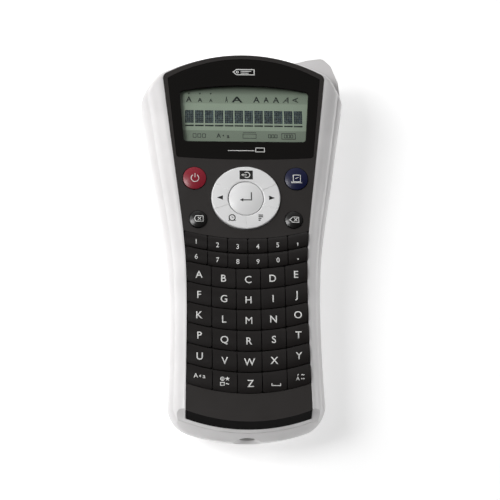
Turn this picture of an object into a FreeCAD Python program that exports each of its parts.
import FreeCAD, Part
import math
import os

# Hand-held label maker, in millimetres.
# Everything is drawn in the device's own frame: x to the right, y towards the display end, z out of the
# front panel, whose face is z = 0. Last, place() turns it to lie on its back: +Z up, origin at the bottom.

V = FreeCAD.Vector
ORIGIN = V(0, 0, 0)
X_AXIS = V(1, 0, 0)
Z_AXIS = V(0, 0, 1)

# Attitude on the table
TILT = 5.0  # the head is thicker than the heel, so the front panel leans by this many degrees
LIFT = 50.0  # height of the front panel's centre above the table
PLAN_SHIFT = (0.19, -5.165)  # brings the middle of the object's footprint over the origin

# Plan outlines, right half, from the top centre round to the bottom centre. Every ring of the case is a
# blend between the edge of the front panel (0) and the widest outline (1).
PANEL_RING = [
    (0, 105.1), (40.6, 94.9), (42.6, 93.3), (42.9, 90.6), (39.5, 62), (35.5, 30), (32.0, -2), (31.2, -35),
    (32.1, -90.3), (31.8, -91.9), (30.5, -92.8), (0, -98.0),
]
WIDEST_RING = [
    (0, 105.3), (44.4, 97.4), (51.2, 90.9), (54.5, 82.5), (51.2, 62), (46.2, 30), (41.2, -2), (39.5, -35),
    (40.8, -84.5), (37.6, -92.0), (31.3, -96.8), (0, -102.2),
]
RING_INWARD = [
    (0, -1), (-0.5, -0.9), (-0.7, -0.7), (-1, 0), (-1, 0), (-1, 0), (-1, 0), (-1, 0),
    (-1, 0), (-0.7, 0.7), (-0.4, 0.9), (0, 1),
]
WALL = 2.2

# Case halves: (blend, z) of each ring, front to back
ROLL = [(0.02, -0.3), (0.22, -0.75), (0.44, -2.2), (0.62, -4.8), (0.72, -8.2)]
PARTING_Z = -8.5
PANEL_LEDGE_Z = -3.25
BACK_SPLIT = 8.0  # height over the table where the rear cover begins
BACK_GAP = 0.3

# Front panel
PANEL_T = 2.0
PANEL_RIM = 3.2
PANEL_GAP = 0.15
SMILE_R, SMILE_CHANGE = 124.0, 0.36  # the key rows and the panel's bottom edge curve more and more downwards
BEVEL_TOP_Y = -94.7
BEVEL_RUN = 3.2
BEVEL_DROP = 5.0
LIP_LEAN = 0.35  # the lip runs out this much for each millimetre that it drops

# Display
WINDOW = [(40.6, 91.6), (0, 102.7), (36.3, 49.2), (34.4, 47.0), (0, 45.9)]
WINDOW_T = 1.0
SCREEN_TOP, SCREEN_CROWN, SCREEN_BOTTOM = (35.1, 84.6), 88.4, (33.0, 55.3)
LCD_FRONT, LCD_BACK = -3.4, -7.1

# Keys
TRAVEL = 0.8
KEY_TOP_Y = 2.2
NUMBER_PITCH = 8.2
LETTER_PITCH = 11.03
NUMBER_COLUMN = 10.45
LETTER_COLUMN = 12.7
COLUMN_SHIFT = 0.5  # the columns sit a little right of the panel's middle
ROW_GAP = 0.55
COLUMN_GAP = 0.45
CAP_BOTTOM, CAP_EDGE, CAP_CROWN = -1.3, 0.25, 1.35
TRAY_FLOOR, TRAY_BACK = -2.2, -3.2
STEM_BOTTOM = -4.3
STEM = (6.0, 4.4)
STEM_LIMIT = 25.4
STEM_GAP = 0.3
ROUND_GAP = 0.4
LETTER_ROWS = ["abcde", "fghij", "klmno", "pqrst", "uvwxy", ["caps", "symbol", "z", "space", "accent"]]
ROUND_KEYS = {"power_key": (-26.8, 35.2, 6.0), "print_key": (26.8, 35.2, 6.0),
              "clear_key": (-25.0, 12.5, 4.5), "delete_key": (25.0, 12.5, 4.5)}
RING_CENTRE = (0.0, 24.4)
RING_HALF = (18.1, 17.1)
ENTER_CENTRE = (0.0, 23.9)
ENTER_R = 9.0
RING_AXIS_Z = -4.1
RING_LINES = [26, 154, 200, 270, 340]

# Electronics
MAT_FRONT, MAT_BACK = STEM_BOTTOM - TRAVEL - 0.1, -7.2
BOARD_T = 1.6
JACK_Z = -17.8
JACK_R = 4.2
JACK_MOUTH_Y, JACK_INNER_Y = -100.2, -95.0

# Deck between the electronics and the tape and battery bays
DECK_FRONT, DECK_BACK = -25.0, -27.0

# Tape cassette and print station
CASSETTE_X, CASSETTE_Y, CASSETTE_Z = (-37.0, 19.0), (13.0, 97.0), (-48.0, -28.0)
TAPE_X = (19.3, 19.6)
TAPE_Z = (-44.0, -32.0)
PLATEN = (24.2, 80.5)
PLATEN_R = 4.5
SHAFT_R = 1.25
HOLDER_PIVOT = (37.0, 73.2)
HOLDER_OPEN = 11.0

# Gears
MODULE = 0.6
PINION_TEETH, DRIVE_TEETH, PLATEN_TEETH, SPINDLE_TEETH = 12, 48, 18, 28
GEAR_Z = (-24.0, -21.0)
MOTOR = (29.5, 53.7)
RUNNING = 0.05

# Cutter
LEVER_Z = (-42.0, -14.0)
LEVER_PIVOT = (49.6, 82.6)
LEVER_OUTER = [(27.5, 106.3), (36.0, 108.5), (44.0, 109.6), (48.6, 105.2), (52.2, 95.5), (53.2, 86.0)]
LEVER_INNER = [(52.4, 79.9), (46.6, 80.4), (45.0, 89.0), (37.5, 96.6), (28.0, 98.6)]
NOTCH = [(22.6, 94.0), (22.6, 114.0), (60.0, 114.0), (60.0, 77.6), (44.6, 77.6), (41.5, 86.0), (34.0, 92.0)]
BLADE_X, BLADE_Y = (21.6, 27.6), (97.8, 99.4)

# Batteries: six AAA cells side by side
CELL_R, CELL_LENGTH, CELL_PITCH = 5.25, 44.5, 10.8
CELL_Z = -32.6
CELL_Y = (-84.5, -40.0)

SCREWS = [(-33.8, -85.2), (33.8, -85.2), (-35.2, -5), (35.2, -5), (38.9, 24), (-45.2, 76)]


def box(x, y, z):
    return Part.makeBox(x[1] - x[0], y[1] - y[0], z[1] - z[0], V(x[0], y[0], z[0]))


def rod(centre, radius, z):
    return Part.makeCylinder(radius, z[1] - z[0], V(centre[0], centre[1], z[0]))


def slab(points, z):
    """A prism on a closed outline of plan points."""
    corners = [V(x, y, z[0]) for x, y in points]
    face = Part.Face(Part.makePolygon(corners + corners[:1]))
    return face.extrude(V(0, 0, z[1] - z[0]))


def raised(wire, z):
    """A prism on a wire drawn at z = 0."""
    face = Part.Face(wire)
    face.translate(V(0, 0, z[0]))
    return face.extrude(V(0, 0, z[1] - z[0]))


def arc(a, b, c):
    return Part.Arc(V(*a, 0), V(*b, 0), V(*c, 0)).toShape()


def line(a, b):
    return Part.makeLine(V(*a, 0), V(*b, 0))


def ring_points(blend, inset, heel):
    points = []
    for k, ((px, py), (wx, wy), (ix, iy)) in enumerate(zip(PANEL_RING, WIDEST_RING, RING_INWARD)):
        raise_by = heel if k > 7 else 0.0
        points.append((px + blend * (wx - px) + inset * ix, py + blend * (wy - py) + inset * iy + raise_by))
    return points


def ring(blend, z=0.0, inset=0.0, tilt=0.0, heel=0.0):
    """The closed plan outline of the case at one level, leaning by tilt degrees. heel draws in the bottom end."""
    right = ring_points(blend, inset, heel)
    left = [(-x, y) for x, y in right]
    down = Part.BSplineCurve()
    down.interpolate([V(x, y, 0) for x, y in right[3:9]])
    up = Part.BSplineCurve()
    up.interpolate([V(x, y, 0) for x, y in reversed(left[3:9])])
    wire = Part.Wire([
        arc(left[1], right[0], right[1]), arc(right[1], right[2], right[3]), down.toShape(),
        arc(right[8], right[9], right[10]), arc(right[10], right[11], left[10]),
        arc(left[10], left[9], left[8]), up.toShape(), arc(left[3], left[2], left[1]),
    ])
    wire.rotate(ORIGIN, X_AXIS, -tilt)
    wire.translate(V(0, 0, z))
    return wire


def over_table(height):
    """The z, at y = 0, of the plane that is this high over the table."""
    return (height - LIFT) / math.cos(math.radians(TILT))


def loft(rings):
    return Part.makeLoft(rings, True)


def smile_r(y):
    return SMILE_R + SMILE_CHANGE * y


def smile(y_mid, profile, half_angle=22.0):
    """A band that follows the curve of y_mid. profile is a list of edges in (y, z) at x = 0."""
    centre = V(0, y_mid + smile_r(y_mid), 0)
    face = Part.Face(Part.Wire(profile))
    face.rotate(centre, Z_AXIS, -half_angle)
    return face.revolve(centre, Z_AXIS, 2 * half_angle)


def yz_polygon(points):
    corners = [V(0, y, z) for y, z in points]
    return Part.makePolygon(corners + corners[:1]).Edges


def sag(x, y):
    """How far the curve that crosses the middle at y has risen at x."""
    return smile_r(y) - math.sqrt(smile_r(y)**2 - x**2)


def dome(centre, radius, z_bottom, z_edge, z_top):
    rise = z_top - z_edge
    ball_r = (radius**2 + rise**2) / (2 * rise)
    ball = Part.makeSphere(ball_r, V(centre[0], centre[1], z_top - ball_r))
    return rod(centre, radius, (z_bottom, z_top)).common(ball)


# ---- gears -------------------------------------------------------------------------------------------


def pitch_r(teeth):
    return MODULE * teeth / 2


def meeting_point(a, reach_a, b, reach_b):
    """The point that lies reach_a from a and reach_b from b, on the right of the way from a to b."""
    dx, dy = b[0] - a[0], b[1] - a[1]
    gap = math.hypot(dx, dy)
    along = (reach_a**2 - reach_b**2 + gap**2) / (2 * gap)
    across = math.sqrt(reach_a**2 - along**2)
    return (a[0] + (dx * along + dy * across) / gap, a[1] + (dy * along - dx * across) / gap)


def meshed_phase(a, teeth_a, phase_a, b, teeth_b):
    """The angle of one tooth of gear b that puts it in mesh with gear a."""
    heading = math.atan2(b[1] - a[1], b[0] - a[0])
    offset = pitch_r(teeth_a) * (phase_a - heading) + math.pi * MODULE / 2
    return heading + math.pi - offset / pitch_r(teeth_b)


def gear(centre, teeth, phase, bore_r=0.0):
    """A spur gear with straight-flanked teeth, slim enough to turn freely in mesh."""
    root, tip = pitch_r(teeth) - 1.2 * MODULE, pitch_r(teeth) + 0.85 * MODULE
    step = 2 * math.pi / teeth
    points = []
    for k in range(teeth):
        for radius, share in ((root, -0.33), (tip, -0.12), (tip, 0.12), (root, 0.33)):
            angle = phase + (k + share) * step
            points.append((centre[0] + radius * math.cos(angle), centre[1] + radius * math.sin(angle)))
    body = slab(points, GEAR_Z)
    if bore_r:
        body = body.cut(rod(centre, bore_r, (GEAR_Z[0] - 1, GEAR_Z[1] + 1)))
    return body


DRIVE = meeting_point(PLATEN, pitch_r(DRIVE_TEETH + PLATEN_TEETH), MOTOR, pitch_r(PINION_TEETH + DRIVE_TEETH))
SPINDLE_REACH = pitch_r(DRIVE_TEETH + SPINDLE_TEETH)
SPINDLE = (DRIVE[0] - SPINDLE_REACH, DRIVE[1])
PINION_PHASE = meshed_phase(DRIVE, DRIVE_TEETH, 0.0, MOTOR, PINION_TEETH)
PLATEN_PHASE = meshed_phase(DRIVE, DRIVE_TEETH, 0.0, PLATEN, PLATEN_TEETH)
SPINDLE_PHASE = meshed_phase(DRIVE, DRIVE_TEETH, 0.0, SPINDLE, SPINDLE_TEETH)


# ---- case --------------------------------------------------------------------------------------------


def lip_trim():
    """Everything beyond the bottom end's lip, which is steep below the panel's edge and leans back beside it."""
    foot = BEVEL_TOP_Y - BEVEL_RUN
    low, high = -BEVEL_DROP - 12.0, 4.0
    points = [(foot - 12.0 * LIP_LEAN, low), (foot, -BEVEL_DROP), (foot + 0.8 * (high + BEVEL_DROP), high),
              (foot - 30.0, high), (foot - 30.0, low)]
    return smile(BEVEL_TOP_Y, yz_polygon(points), 34.0)


def skirt_room():
    """Space for the bevelled bottom edge of the front panel."""
    points = [(BEVEL_TOP_Y + 4.0, 2.0), (BEVEL_TOP_Y + 4.0, -BEVEL_DROP - PANEL_GAP),
              (BEVEL_TOP_Y - BEVEL_RUN - PANEL_GAP, -BEVEL_DROP - PANEL_GAP),
              (BEVEL_TOP_Y - BEVEL_RUN - PANEL_GAP, 2.0)]
    return smile(BEVEL_TOP_Y, yz_polygon(points), 26.0).common(box((-32.3, 32.3), (-110, 0), (-10, 5)))


def jack_way():
    """The round inlet at the bottom end, with its flared mouth."""
    bore = Part.makeCylinder(JACK_R, 12, V(0, JACK_MOUTH_Y - 5, JACK_Z), V(0, 1, 0))
    flare = Part.makeCone(JACK_R, 11.6, 4.0, V(0, JACK_MOUTH_Y, JACK_Z), V(0, -1, 0))
    return bore.fuse(flare)


def upper_case():
    shell = loft([ring(blend, z) for blend, z in ROLL])
    opening = raised(ring(0, inset=-PANEL_GAP), (PANEL_LEDGE_Z, 1))
    throat = raised(ring(0, inset=2.4), (-5.0, 1))
    room = loft([ring(0.28, -5.0, heel=2.6), ring(0.45, -6.5, WALL * 0.6, heel=2.0), ring(0.72, -8.3, WALL, heel=1.4)])
    shell = shell.cut(opening).cut(throat).cut(room).cut(lip_trim()).cut(skirt_room()).cut(jack_way())
    reach = raised(ring(0.70, inset=WALL + 0.3, heel=2.0), (DECK_FRONT, PARTING_Z + 0.3))
    reach = reach.fuse(loft([ring(0.40, -4.0, heel=3.0), ring(0.60, PARTING_Z + 0.3, heel=3.0)]))
    for centre in SCREWS:
        shell = shell.fuse(rod(centre, 2.9, (DECK_FRONT, -4.0)).common(reach))
    for centre in SCREWS:
        shell = shell.cut(rod(centre, 1.25, (DECK_FRONT - 1, -14)))
    return shell.removeSplitter()


def case_walls(inset, front_z, back_height):
    back = over_table(back_height)
    return loft([
        ring(0.70, front_z, inset), ring(0.87, -10.8, inset), ring(0.97, -14.0, inset), ring(1.0, -20.0, inset),
        ring(0.97, -32.0, inset, TILT / 2, 2.8), ring(0.86, back, inset, TILT, 5.0),
    ])


def lower_case():
    outer = case_walls(0.0, PARTING_Z, BACK_SPLIT)
    inner = case_walls(WALL, PARTING_Z + 0.2, BACK_SPLIT - 1.0)
    inner = inner.fuse(raised(ring(0.70, inset=WALL, heel=1.2), (-9.5, 0)))
    shell = outer.cut(inner)
    deck = inner.common(box((-60, 60), (-110, 110), (DECK_BACK, DECK_FRONT)))
    boss = Part.makeCylinder(5.6, 8.0, V(0, JACK_INNER_Y - 8.0, JACK_Z), V(0, 1, 0)).common(outer)
    shelf = inner.common(box((45.2, 60), (74, 90), (-47.4, -45.4)))
    shell = shell.fuse([deck, boss, shelf])
    swing = math.radians(HOLDER_OPEN) * math.hypot(PLATEN[0] - HOLDER_PIVOT[0], PLATEN[1] - HOLDER_PIVOT[1])
    swung = rod(PLATEN, SHAFT_R + swing + 1.5, (DECK_BACK - 1, DECK_FRONT + 1))
    holes = [swung, rod(MOTOR, 3.6, (DECK_BACK - 1, DECK_FRONT + 1)),
             rod(SPINDLE, 2.0 + RUNNING, (DECK_BACK - 1, DECK_FRONT + 1)),
             slab(NOTCH, (LEVER_Z[0] - 0.4, LEVER_Z[1] + 0.4)),
             box((18.7, 20.3), (99, 108), (-45.0, -31.0)), jack_way(), lip_trim()]
    holes += [rod(centre, 1.45, (DECK_BACK - 1, DECK_FRONT + 1)) for centre in SCREWS]
    shell = shell.cut(holes[0])
    for hole in holes[1:]:
        shell = shell.cut(hole)
    pins = [rod(DRIVE, 1.5, (DECK_FRONT, -20.2)), rod(HOLDER_PIVOT, 1.5, (-47.6, DECK_BACK)),
            rod(LEVER_PIVOT, 1.5, (-45.4, -15.0))]
    return shell.fuse(pins).removeSplitter()


def rear_cover():
    top = BACK_SPLIT - BACK_GAP
    outer = loft([ring(0.86, over_table(top), 0, TILT, 5.0), ring(0.78, over_table(4.6), 0, TILT, 6.4),
                  ring(0.60, over_table(1.4), 0, TILT, 7.4), ring(0.38, over_table(0), 0, TILT, 8.8)])
    inner = loft([ring(0.86, over_table(top + 0.2), WALL, TILT, 5.0),
                  ring(0.76, over_table(4.8), WALL, TILT, 6.0), ring(0.55, over_table(2.2), WALL, TILT, 6.6)])
    cover = outer.cut(inner)
    for k in range(6):
        groove = Part.makeCylinder(1.0, 44, V(-22, -34 + 7 * k, 0), X_AXIS)
        groove.translate(V(0, 0, over_table(-0.45) - (-34 + 7 * k) * math.tan(math.radians(TILT))))
        cover = cover.cut(groove)
    for x in (-22.0, 22.0):
        rib = box((x - 0.7, x + 0.7), (-82, -44), (-43.0, -39.4)).common(outer)
        cover = cover.fuse(rib)
    return cover.removeSplitter()


def case_screws():
    screws = []
    for centre in SCREWS:
        head = rod(centre, 2.6, (DECK_BACK - 1.8, DECK_BACK))
        shank = rod(centre, 1.2, (DECK_BACK - 0.5, -15))
        slot = rod(centre, 0.9, (DECK_BACK - 2, DECK_BACK - 1))
        screws.append(head.fuse(shank).cut(slot))
    return Part.makeCompound(screws)


# ---- front panel and display -------------------------------------------------------------------------


def window_wire(inset=0.0):
    (tx, ty), (_, crown), (bx, by), (cx, cy), (_, sill) = WINDOW
    tx, ty, crown = tx - inset, ty - 0.4 * inset, crown - inset
    bx, by, cx, cy, sill = bx - inset, by, cx - 0.5 * inset, cy + inset, sill + inset
    corner = ((bx + cx) / 2 + 0.5, (by + cy) / 2 - 0.5)
    return Part.Wire([
        arc((-tx, ty), (0, crown), (tx, ty)), line((tx, ty), (bx, by)), arc((bx, by), corner, (cx, cy)),
        arc((cx, cy), (0, sill), (-cx, cy)), arc((-cx, cy), (-corner[0], corner[1]), (-bx, by)),
        line((-bx, by), (-tx, ty)),
    ])


def screen_wire():
    (tx, ty), (bx, by) = SCREEN_TOP, SCREEN_BOTTOM
    return Part.Wire([
        arc((-tx, ty), (0, SCREEN_CROWN), (tx, ty)), line((tx, ty), (bx, by)),
        arc((bx, by), (0, by - 0.4), (-bx, by)), line((-bx, by), (-tx, ty)),
    ])


def between(top, bottom, z):
    """The field between the curves that cross the middle at top and at bottom."""
    half = 40.0
    high, low = top + sag(half, top), bottom + sag(half, bottom)
    wire = Part.Wire([
        arc((-half, high), (0, top), (half, high)), line((half, high), (half, low)),
        arc((half, low), (0, bottom), (-half, low)), line((-half, low), (-half, high)),
    ])
    return raised(wire, z)


def key_block(y_margin, z):
    """The whole field of keys, with a margin above and below."""
    return between(KEY_TOP_Y + y_margin, KEY_TOP_Y - 2 * NUMBER_PITCH - 6 * LETTER_PITCH - y_margin, z)


def front_panel():
    plate = raised(ring(0), (-PANEL_T, 0))
    rim = raised(ring(0), (-PANEL_RIM, -PANEL_T)).cut(raised(ring(0, inset=2.0), (-PANEL_RIM, -PANEL_T)))
    tray = key_block(1.5, (TRAY_BACK, -PANEL_T)).common(raised(ring(0), (TRAY_BACK, -PANEL_T)))
    beyond = [(BEVEL_TOP_Y, 1), (BEVEL_TOP_Y, -6), (BEVEL_TOP_Y - 20, -6), (BEVEL_TOP_Y - 20, 1)]
    bevel = [(BEVEL_TOP_Y + 1.5, 0), (BEVEL_TOP_Y, 0), (BEVEL_TOP_Y - BEVEL_RUN, -BEVEL_DROP),
             (BEVEL_TOP_Y - BEVEL_RUN + 2.0, -BEVEL_DROP), (BEVEL_TOP_Y + 1.5, -1.8)]
    skirt = smile(BEVEL_TOP_Y, yz_polygon(bevel), 26.0).common(box((-31.9, 31.9), (-110, 0), (-6, 1)))
    panel = plate.fuse([rim, tray]).cut(smile(BEVEL_TOP_Y, yz_polygon(beyond), 26.0)).fuse(skirt)
    panel = panel.cut(key_block(0.0, (TRAY_FLOOR, 1)))
    panel = panel.cut(raised(window_wire(-0.15), (-WINDOW_T - 0.1, 1)))
    panel = panel.cut(raised(screen_wire(), (-5, 1)))
    for x, y, radius in ROUND_KEYS.values():
        panel = panel.cut(rod((x, y), radius + ROUND_GAP, (-5, 1)))
    panel = panel.cut(oval(ROUND_GAP, (-5, 1)))
    sx, sy = STEM[0] / 2 + STEM_GAP, STEM[1] / 2 + STEM_GAP
    centres = [stem_centre(x, y_mid) for _, x, y_mid, _, _ in key_places()]
    stems = [box((x - sx, x + sx), (y - sy, y + sy), (-5, -1.5)) for x, y in centres]
    return panel.cut(Part.makeCompound(stems)).removeSplitter()


def display_window():
    return raised(window_wire(), (-WINDOW_T, -0.05))


def lcd_module():
    (tx, ty), (bx, by) = SCREEN_TOP, SCREEN_BOTTOM
    module = box((-tx - 0.4, tx + 0.4), (by - 3, SCREEN_CROWN + 2), (LCD_BACK, LCD_FRONT))
    frame = box((-tx - 0.4, tx + 0.4), (by - 4, SCREEN_CROWN + 3), (LCD_BACK, LCD_BACK + 1.2))
    return module.fuse(frame).removeSplitter()


# ---- keys --------------------------------------------------------------------------------------------


def key_rows():
    """(nodes, y of the row's middle, height, column pitch) of each row, top to bottom."""
    rows = []
    y = KEY_TOP_Y
    for name in ("number_keys_upper", "number_keys_lower"):
        rows.append(([name] * 6, y - NUMBER_PITCH / 2, NUMBER_PITCH, NUMBER_COLUMN))
        y -= NUMBER_PITCH
    for names in LETTER_ROWS:
        rows.append((["key_" + name for name in names], y - LETTER_PITCH / 2, LETTER_PITCH, LETTER_COLUMN))
        y -= LETTER_PITCH
    return rows


def stem_centre(x, y_mid):
    """The stem stands under the middle of its key, but never too close to the side of the case."""
    return max(-STEM_LIMIT, min(STEM_LIMIT, x)), y_mid + sag(x, y_mid)


def key_places():
    """(node, x, middle, height, column pitch) of every key."""
    places = []
    for names, y_mid, height, column in key_rows():
        for k, name in enumerate(names):
            places.append((name, COLUMN_SHIFT + (k - (len(names) - 1) / 2) * column, y_mid, height, column))
    return places


def row_band(y_mid, height):
    """The pillowed strip that the caps of one row are cut from."""
    half = (height - ROW_GAP) / 2
    reach = half + 0.6
    edge = CAP_CROWN - (CAP_CROWN - CAP_EDGE) * (reach / half)**2
    high, low = y_mid + reach, y_mid - reach
    crown = Part.Arc(V(0, high, edge), V(0, y_mid, CAP_CROWN), V(0, low, edge)).toShape()
    sides = [Part.makeLine(V(0, low, edge), V(0, low, CAP_BOTTOM)),
             Part.makeLine(V(0, low, CAP_BOTTOM), V(0, high, CAP_BOTTOM)),
             Part.makeLine(V(0, high, CAP_BOTTOM), V(0, high, edge))]
    return smile(y_mid, [crown] + sides).common(between(y_mid + half, y_mid - half, (-3, 4)))


def keys():
    """Every key of the block: a pillowed cap on a stem. The two number rows are one node each."""
    nodes = {}
    field = raised(ring(0, inset=0.35), (-6, 4))
    bands = {y_mid: row_band(y_mid, height) for _, y_mid, height, _ in key_rows()}
    for name, x, y_mid, height, column in key_places():
        half = (column - COLUMN_GAP) / 2
        outermost = abs(x) > 1.9 * column
        left, right = (-40.0 if outermost and x < 0 else x - half), (40.0 if outermost and x > 0 else x + half)
        cap = bands[y_mid].common(box((left, right), (y_mid - height, y_mid + height + 8), (-3, 4))).common(field)
        upright = [e for e in cap.Edges if abs(e.tangentAt(e.FirstParameter).z) > 0.99]
        cap = cap.makeFillet(0.9, upright)
        sx, sy = stem_centre(x, y_mid)
        stem = box((sx - STEM[0] / 2, sx + STEM[0] / 2), (sy - STEM[1] / 2, sy + STEM[1] / 2),
                   (STEM_BOTTOM, CAP_BOTTOM + 0.5))
        nodes.setdefault(name, []).append(cap.fuse(stem).removeSplitter())
    return {name: solids[0] if len(solids) == 1 else Part.makeCompound(solids) for name, solids in nodes.items()}


def round_keys():
    nodes = {name: dome((x, y), radius, STEM_BOTTOM, 0.5, 1.5) for name, (x, y, radius) in ROUND_KEYS.items()}
    nodes["enter_key"] = dome(ENTER_CENTRE, ENTER_R, STEM_BOTTOM + 0.7, 0.9, 2.3)
    return nodes


def oval(margin, z):
    """The outline of the navigation ring, which is a little wider than it is tall."""
    ellipse = Part.Ellipse(V(*RING_CENTRE, 0), RING_HALF[0] + margin, RING_HALF[1] + margin)
    return raised(Part.Wire(ellipse.toShape()), z)


def nav_ring():
    """The white ring. It rocks on two round feet under its top and bottom."""
    body = oval(0.0, (-3.9, 1.3)).cut(rod(ENTER_CENTRE, ENTER_R + 0.35, (-5, 3)))
    top_edges = [e for e in body.Edges if e.BoundBox.ZMin > 1.2]
    body = body.makeFillet(0.7, top_edges)
    for angle in RING_LINES:
        line_cut = box((ENTER_R - 1, RING_HALF[0] + 2), (-0.2, 0.2), (0.95, 3))
        line_cut.rotate(ORIGIN, Z_AXIS, angle)
        line_cut.translate(V(*ENTER_CENTRE, 0))
        body = body.cut(line_cut)
    low, high = RING_CENTRE[1] - RING_HALF[1] + 0.8, RING_CENTRE[1] + RING_HALF[1] - 0.8
    for y, length in ((low, 5.9), (high - 6.8, 6.8)):
        body = body.fuse(Part.makeCylinder(1.0, length, V(RING_CENTRE[0], y, RING_AXIS_Z), V(0, 1, 0)))
    return body


def keypad_mat():
    sheet = raised(ring(-0.4), (MAT_BACK, MAT_FRONT))
    return sheet.common(box((-40, 40), (-84, 44), (-10, 0)))


# ---- electronics -------------------------------------------------------------------------------------


def main_board():
    """The circuit board with its larger components and the soldered power jack."""
    face = MAT_BACK
    board = raised(ring(-0.4), (face - BOARD_T, face)).common(box((-50, 50), (-90.8, 91.5), (-12, 0)))
    for x, y in SCREWS:
        board = board.cut(rod((x, y), 3.3, (-12, 0)))
    back = face - BOARD_T + 0.3  # the components reach a little into the board
    chips = [box((-9, 5), (-30, -16), (back - 1.9, back)), box((8, 20), (-8, 2), (back - 1.5, back)),
             box((-22, -14), (20, 28), (back - 1.5, back)), rod((16, -50), 3.1, (back - 7.5, back)),
             rod((-16, -52), 3.1, (back - 7.5, back))]
    body = box((-4.6, 4.6), (JACK_INNER_Y + 0.4, -82), (JACK_Z - 5.0, back))
    socket = Part.makeCylinder(3.2, 10.5, V(0, JACK_INNER_Y, JACK_Z), V(0, 1, 0))
    pin = Part.makeCylinder(0.85, 9.0, V(0, JACK_INNER_Y + 3.0, JACK_Z), V(0, 1, 0))
    return board.fuse(chips).fuse(body.cut(socket).fuse(pin)).removeSplitter()


def batteries():
    cells = []
    for k in range(6):
        x = (k - 2.5) * CELL_PITCH
        way = 1 if k % 2 else -1
        start = CELL_Y[0] if way > 0 else CELL_Y[1]
        can = Part.makeCylinder(CELL_R, CELL_LENGTH - 0.9, V(x, start, CELL_Z), V(0, way, 0))
        can = can.makeFillet(0.5, can.Edges)
        nub = Part.makeCylinder(1.9, CELL_LENGTH, V(x, start, CELL_Z), V(0, way, 0))
        cells.append(can.fuse(nub))
    return Part.makeCompound(cells)


def battery_contacts():
    """A strip of contacts at each end of the row of cells, with a coned spring at each negative end."""
    strips = []
    for end, way in ((CELL_Y[0] - 2.0, 1), (CELL_Y[1] + 2.0, -1)):
        strip = box((-30.6, 30.6), sorted((end, end - way * 0.5)), (-37.6, DECK_BACK))
        for k in range(6):
            x = (k - 2.5) * CELL_PITCH
            negative = (k % 2 == 1) == (way > 0)
            radius = (3.4, 2.2) if negative else (2.0, 1.4)
            strip = strip.fuse(Part.makeCone(*radius, 2.0, V(x, end, CELL_Z), V(0, way, 0)))
        strips.append(strip)
    return Part.makeCompound(strips)


# ---- tape station ------------------------------------------------------------------------------------


def tape_cassette():
    """A boxed cassette with the end of its laminated tape, which passes the print head."""
    body = box(CASSETTE_X, CASSETTE_Y, CASSETTE_Z)
    upright = [e for e in body.Edges if abs(e.tangentAt(e.FirstParameter).z) > 0.99]
    body = body.makeFillet(4.0, upright)
    body = body.cut(box((11.5, 20), (70, 91), (-50, -26)))
    body = body.cut(rod(SPINDLE, 5.2, (-50, -26))).cut(rod((-16, 74), 6.0, (-50, -44)))
    for z in (CASSETTE_Z[0], CASSETTE_Z[1] - 0.5):
        label = box((-30, 0), (24, 44), (z, z + 0.5))
        body = body.cut(label)
    tape = box(TAPE_X, (71.0, 97.6), TAPE_Z)
    return Part.makeCompound([body, tape])


def print_head():
    plate = box((12.6, 14.4), (72, 89), (-46.5, DECK_BACK))
    ceramic = box((14.4, 19.2), (77.5, 83.5), (-45.5, -30.5))
    foot = box((12.6, 18.6), (72, 89), (DECK_BACK - 1.6, DECK_BACK))
    return plate.fuse([ceramic, foot]).removeSplitter()


def along(origin, towards, u, v):
    """The plan point u along and v to the right of the way from one point to another."""
    length = math.hypot(towards[0] - origin[0], towards[1] - origin[1])
    ux, uy = (towards[0] - origin[0]) / length, (towards[1] - origin[1]) / length
    return (origin[0] + u * ux + v * uy, origin[1] + u * uy - v * ux)


def roller_holder():
    reach = math.hypot(PLATEN[0] - HOLDER_PIVOT[0], PLATEN[1] - HOLDER_PIVOT[1])

    def strip(v, z):
        corners = ((-3.4, v[0]), (reach + 3.0, v[0]), (reach + 3.0, v[1]), (-3.4, v[1]))
        return slab([along(HOLDER_PIVOT, PLATEN, *corner) for corner in corners], z)

    plates = [strip((-2.6, 7.0), (-30.2, -29.0)), strip((5.6, 7.0), (-47.0, -29.0))]
    body = strip((-2.6, 7.0), (-47.0, -45.8)).fuse(plates)
    body = body.cut(rod(HOLDER_PIVOT, 1.5 + RUNNING, (-50, -25)))
    return body.cut(rod(PLATEN, SHAFT_R + RUNNING, (-50, -25))).removeSplitter()


def platen_roller():
    roller = rod(PLATEN, PLATEN_R, (-45.0, -31.0))
    shaft = rod(PLATEN, SHAFT_R, (-47.0, GEAR_Z[1]))
    return shaft.fuse([roller, gear(PLATEN, PLATEN_TEETH, PLATEN_PHASE)])


def drive_motor():
    can = rod(MOTOR, 10.2, (-45.0, DECK_BACK - 0.2)).common(
        box((MOTOR[0] - 11, MOTOR[0] + 11), (MOTOR[1] - 7.7, MOTOR[1] + 7.7), (-50, -20)))
    nose = rod(MOTOR, 3.4, (DECK_BACK - 0.2, DECK_FRONT))
    tail = rod(MOTOR, 3.0, (-46.5, -45.0))
    return can.fuse([nose, tail]).cut(rod(MOTOR, 1.0 + RUNNING, (-38, -20)))


def motor_pinion():
    return gear(MOTOR, PINION_TEETH, PINION_PHASE).fuse(rod(MOTOR, 1.0, (-37.5, GEAR_Z[1] + 0.6)))


def drive_gear():
    wheel = gear(DRIVE, DRIVE_TEETH, 0.0, 1.5 + RUNNING)
    for k in range(5):
        turn = 2 * math.pi * k / 5
        wheel = wheel.cut(rod((DRIVE[0] + 8 * math.cos(turn), DRIVE[1] + 8 * math.sin(turn)), 2.4, (-25, -20)))
    return wheel


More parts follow.
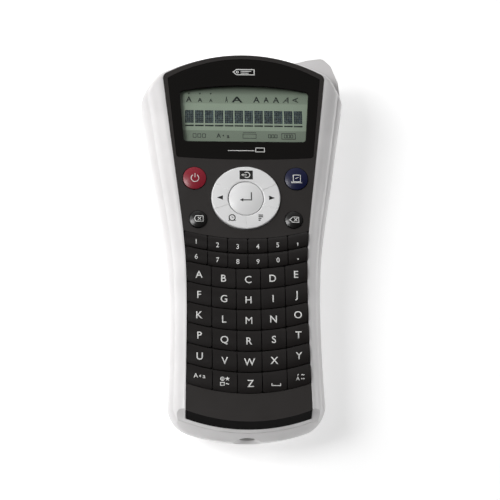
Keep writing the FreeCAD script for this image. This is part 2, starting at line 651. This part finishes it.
def ribbon_spindle():
    shaft = rod(SPINDLE, 2.0, (-46.0, GEAR_Z[1]))
    fins = [box((-4.2, 4.2), (-0.5, 0.5), (-45.0, -30.0)) for _ in range(3)]
    for k, fin in enumerate(fins):
        fin.rotate(ORIGIN, Z_AXIS, 60 * k)
        fin.translate(V(*SPINDLE, 0))
    return shaft.fuse([gear(SPINDLE, SPINDLE_TEETH, SPINDLE_PHASE)] + fins)


# ---- cutter ------------------------------------------------------------------------------------------


def cutter_lever():
    body = slab(LEVER_OUTER + LEVER_INNER, LEVER_Z)
    corners = [e for e in body.Edges if abs(e.tangentAt(e.FirstParameter).z) > 0.99
               and e.CenterOfMass.x > 40 and e.CenterOfMass.y > 94]
    body = body.makeFillet(3.0, corners)
    corners = [V(x, y, 0) for x, y in LEVER_OUTER + LEVER_INNER]
    inside = Part.makePolygon(corners + corners[:1]).makeOffset2D(-2.0, 2)
    hollow = raised(inside, (LEVER_Z[0] - 1, LEVER_Z[1] - 1.8)).cut(rod(LEVER_PIVOT, 2.7, (-50, 0)))
    return body.cut(hollow).cut(rod(LEVER_PIVOT, 1.5 + RUNNING, (-50, LEVER_Z[1] - 0.8))).removeSplitter()


def cutter_blade():
    """The blade in its slide, with the edge towards the tape."""
    middle = sum(BLADE_Y) / 2
    slide = box((BLADE_X[0] + 2.0, BLADE_X[1]), BLADE_Y, (-45.0, -31.0))
    edge = slab([(BLADE_X[0], middle), (BLADE_X[0] + 2.2, middle - 0.4), (BLADE_X[0] + 2.2, middle + 0.4)],
                (-45.0, -31.0))
    return slide.fuse(edge)


def lever_spring():
    """Torsion spring round the lever's pin."""
    wire_r, coil_r = 0.35, 2.2
    levels = (-44.4, -43.8, -43.2, -42.6)
    x, y = LEVER_PIVOT[0] - coil_r, LEVER_PIVOT[1]
    coils = [Part.makeTorus(coil_r, wire_r, V(*LEVER_PIVOT, z)) for z in levels]
    legs = [Part.makeCylinder(wire_r, 9.0, V(x, y, levels[-1]), V(0, 1, 0)),
            Part.makeCylinder(wire_r, 6.0, V(x, y, levels[0]), V(0, -1, 0))]
    return coils[0].fuse(coils[1:] + legs)


def place(shape):
    """From the device's own frame to lying on its back on the table."""
    placed = shape.copy()
    placed.rotate(ORIGIN, X_AXIS, TILT)
    placed.translate(V(*PLAN_SHIFT, LIFT))
    return placed


def main():
    os.makedirs("parts", exist_ok=True)
    nodes = {
        "front_panel": front_panel(), "display_window": display_window(), "lcd_module": lcd_module(),
        "upper_case": upper_case(), "lower_case": lower_case(), "rear_cover": rear_cover(),
        "case_screws": case_screws(), "main_board": main_board(), "keypad_mat": keypad_mat(),
        "batteries": batteries(), "battery_contacts": battery_contacts(), "tape_cassette": tape_cassette(),
        "print_head": print_head(), "roller_holder": roller_holder(), "platen_roller": platen_roller(),
        "drive_motor": drive_motor(), "motor_pinion": motor_pinion(), "drive_gear": drive_gear(),
        "ribbon_spindle": ribbon_spindle(), "cutter_lever": cutter_lever(), "cutter_blade": cutter_blade(),
        "lever_spring": lever_spring(), "nav_ring": nav_ring(),
    }
    nodes.update(round_keys())
    nodes.update(keys())
    for name, shape in nodes.items():
        place(shape).exportStep(f"parts/{name}.step")


main()
